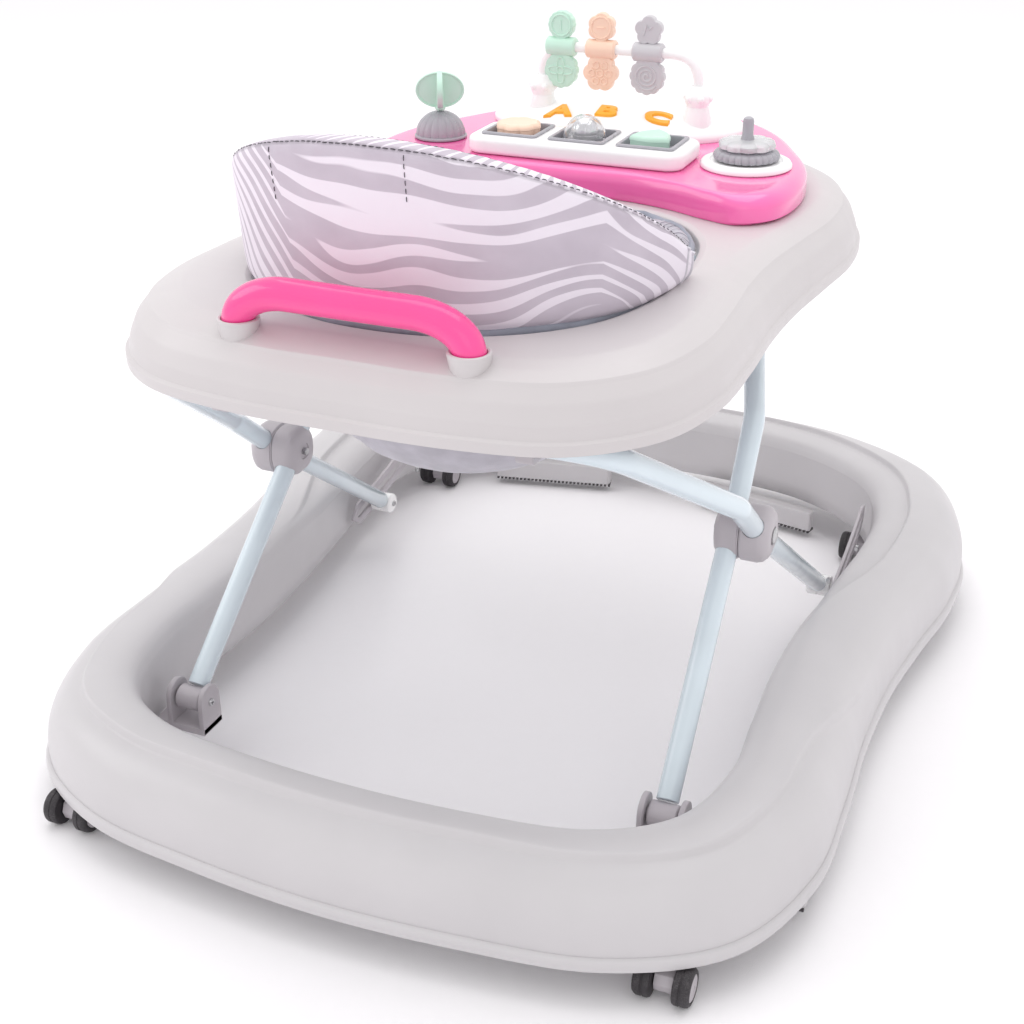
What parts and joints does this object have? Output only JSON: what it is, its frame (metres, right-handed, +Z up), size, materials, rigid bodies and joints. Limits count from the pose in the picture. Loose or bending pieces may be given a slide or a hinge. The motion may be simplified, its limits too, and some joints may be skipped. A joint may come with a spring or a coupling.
{
  "type": "baby walker",
  "caption": "Folding baby walker: hollow base ring on swivel casters, crossed leg tubes, tray ring with padded seat, push handle and a toy deck.",
  "frame": {"origin": "on the floor, below the middle of the base ring", "axes": "+Z up; the baby faces -Y and the push handle is at +Y; +X is the baby's left"},
  "size_m": [0.6662, 0.814, 0.5215],
  "materials": {
    "base_shell": "satin moulded plastic with a fine pebble",
    "tray_shell": "satin moulded plastic",
    "leg_tube": "gloss powder coat",
    "grey_fitting": "satin moulded plastic",
    "steel": "polished",
    "rubber": "matt",
    "tyre": "smooth",
    "white_plastic": "gloss",
    "pink_gloss": "gloss",
    "seat_fabric": "printed woven polyester",
    "peach": "satin",
    "mint": "satin",
    "toy_grey": "satin",
    "clear_lens": "clear"
  },
  "bodies": {
    "base": {"base_shell": "base_shell", "leg_bracket_left": "grey_fitting", "leg_bracket_right": "grey_fitting", "slide_guide_left": "grey_fitting", "slide_guide_right": "grey_fitting", "front_grip_left": "rubber", "front_grip_right": "rubber", "rear_grip_left": "rubber", "rear_grip_right": "rubber", "caster_post_front_left": "grey_fitting", "caster_post_front_right": "grey_fitting", "caster_post_rear_left": "grey_fitting", "caster_post_rear_right": "grey_fitting"},
    "rear_legs": {"rear_leg_left": "leg_tube", "rear_leg_right": "leg_tube", "rear_hub_left": "grey_fitting", "rear_hub_right": "grey_fitting", "rear_foot_left": "grey_fitting", "rear_foot_right": "grey_fitting", "rear_rod": "leg_tube"},
    "front_legs": {"front_leg_left": "leg_tube", "front_leg_right": "leg_tube", "front_hub_left": "grey_fitting", "front_hub_right": "grey_fitting", "hub_pin_left": "steel", "hub_pin_right": "steel", "slide_shoe_left": "white_plastic", "slide_shoe_right": "white_plastic", "front_rod": "leg_tube"},
    "tray": {"tray_shell": "tray_shell", "rod_saddle_left": "grey_fitting", "rod_saddle_right": "grey_fitting", "height_rack_left": "grey_fitting", "height_rack_right": "grey_fitting", "push_handle": "pink_gloss", "seat_back": "seat_fabric", "seat_bucket": "seat_fabric", "toy_deck": "pink_gloss", "key_console": "white_plastic", "ball_cover": "clear_lens", "dome_panel": "white_plastic", "toy_bar": "white_plastic", "spinner_dome": "toy_grey", "dial_base": "white_plastic"},
    "swivel_front_left": {"caster_fork_front_left": "grey_fitting"},
    "wheels_front_left": {"wheel_pair_front_left": "tyre"},
    "swivel_front_right": {"caster_fork_front_right": "grey_fitting"},
    "wheels_front_right": {"wheel_pair_front_right": "tyre"},
    "swivel_rear_left": {"caster_fork_rear_left": "grey_fitting"},
    "wheels_rear_left": {"wheel_pair_rear_left": "tyre"},
    "swivel_rear_right": {"caster_fork_rear_right": "grey_fitting"},
    "wheels_rear_right": {"wheel_pair_rear_right": "tyre"},
    "mint_paddle": {"mint_paddle": "mint"},
    "peach_paddle": {"peach_paddle": "peach"},
    "grey_paddle": {"grey_paddle": "toy_grey"},
    "leaf_spinner": {"leaf_spinner": "mint"},
    "dial_knob": {"dial_knob": "toy_grey"},
    "roller_ball": {"roller_ball": "steel"},
    "peach_key": {"peach_key": "peach"},
    "mint_key": {"mint_key": "mint"}
  },
  "joints": [
    {"name": "fold", "type": "hinge", "parent": "base", "child": "rear_legs", "pos_m": [0, 0.2505, 0.0555], "axis": [1, 0, 0], "range_deg": [-4, 31]},
    {"name": "scissor", "type": "hinge", "parent": "rear_legs", "child": "front_legs", "pos_m": [0, 0.085, 0.201], "axis": [1, 0, 0], "range_deg": [-62, 8]},
    {"name": "tray_level", "type": "hinge", "parent": "front_legs", "child": "tray", "pos_m": [0, 0.291, 0.344], "axis": [1, 0, 0], "range_deg": [-4, 31]},
    {"name": "front_left_swivel", "type": "hinge", "parent": "base", "child": "swivel_front_left", "pos_m": [0.228, -0.308, 0.03], "axis": [0, 0, 1], "continuous": true},
    {"name": "front_left_roll", "type": "hinge", "parent": "swivel_front_left", "child": "wheels_front_left", "pos_m": [0.228, -0.278, 0.0135], "axis": [1, 0, 0], "continuous": true},
    {"name": "front_right_swivel", "type": "hinge", "parent": "base", "child": "swivel_front_right", "pos_m": [-0.228, -0.308, 0.03], "axis": [0, 0, 1], "continuous": true},
    {"name": "front_right_roll", "type": "hinge", "parent": "swivel_front_right", "child": "wheels_front_right", "pos_m": [-0.228, -0.278, 0.0135], "axis": [1, 0, 0], "continuous": true},
    {"name": "rear_left_swivel", "type": "hinge", "parent": "base", "child": "swivel_rear_left", "pos_m": [0.231, 0.33, 0.03], "axis": [0, 0, 1], "continuous": true},
    {"name": "rear_left_roll", "type": "hinge", "parent": "swivel_rear_left", "child": "wheels_rear_left", "pos_m": [0.231, 0.36, 0.0135], "axis": [1, 0, 0], "continuous": true},
    {"name": "rear_right_swivel", "type": "hinge", "parent": "base", "child": "swivel_rear_right", "pos_m": [-0.231, 0.33, 0.03], "axis": [0, 0, 1], "continuous": true},
    {"name": "rear_right_roll", "type": "hinge", "parent": "swivel_rear_right", "child": "wheels_rear_right", "pos_m": [-0.231, 0.36, 0.0135], "axis": [1, 0, 0], "continuous": true},
    {"name": "mint_paddle_spin", "type": "hinge", "parent": "tray", "child": "mint_paddle", "pos_m": [0.0525, -0.175, 0.492], "axis": [1, 0, 0], "continuous": true},
    {"name": "peach_paddle_spin", "type": "hinge", "parent": "tray", "child": "peach_paddle", "pos_m": [0.0165, -0.175, 0.492], "axis": [1, 0, 0], "continuous": true},
    {"name": "grey_paddle_spin", "type": "hinge", "parent": "tray", "child": "grey_paddle", "pos_m": [-0.025, -0.175, 0.492], "axis": [1, 0, 0], "continuous": true},
    {"name": "leaf_spin", "type": "hinge", "parent": "tray", "child": "leaf_spinner", "pos_m": [0.133, -0.1, 0.464], "axis": [0, 0, 1], "continuous": true},
    {"name": "dial_turn", "type": "hinge", "parent": "tray", "child": "dial_knob", "pos_m": [-0.133, -0.1, 0.437], "axis": [0, 0, 1], "continuous": true},
    {"name": "ball_roll", "type": "hinge", "parent": "tray", "child": "roller_ball", "pos_m": [0, -0.092, 0.4425], "axis": [1, 0, 0], "continuous": true},
    {"name": "peach_key_press", "type": "slide", "parent": "tray", "child": "peach_key", "axis": [0, 0, -1], "range_m": [0, 0.003], "stiffness_N_per_m": 400},
    {"name": "mint_key_press", "type": "slide", "parent": "tray", "child": "mint_key", "axis": [0, 0, -1], "range_m": [0, 0.003], "stiffness_N_per_m": 400}
  ],
  "couplings": [
    {"joint": "scissor", "follows": "fold", "ratio": -2},
    {"joint": "tray_level", "follows": "fold", "ratio": 1}
  ]
}
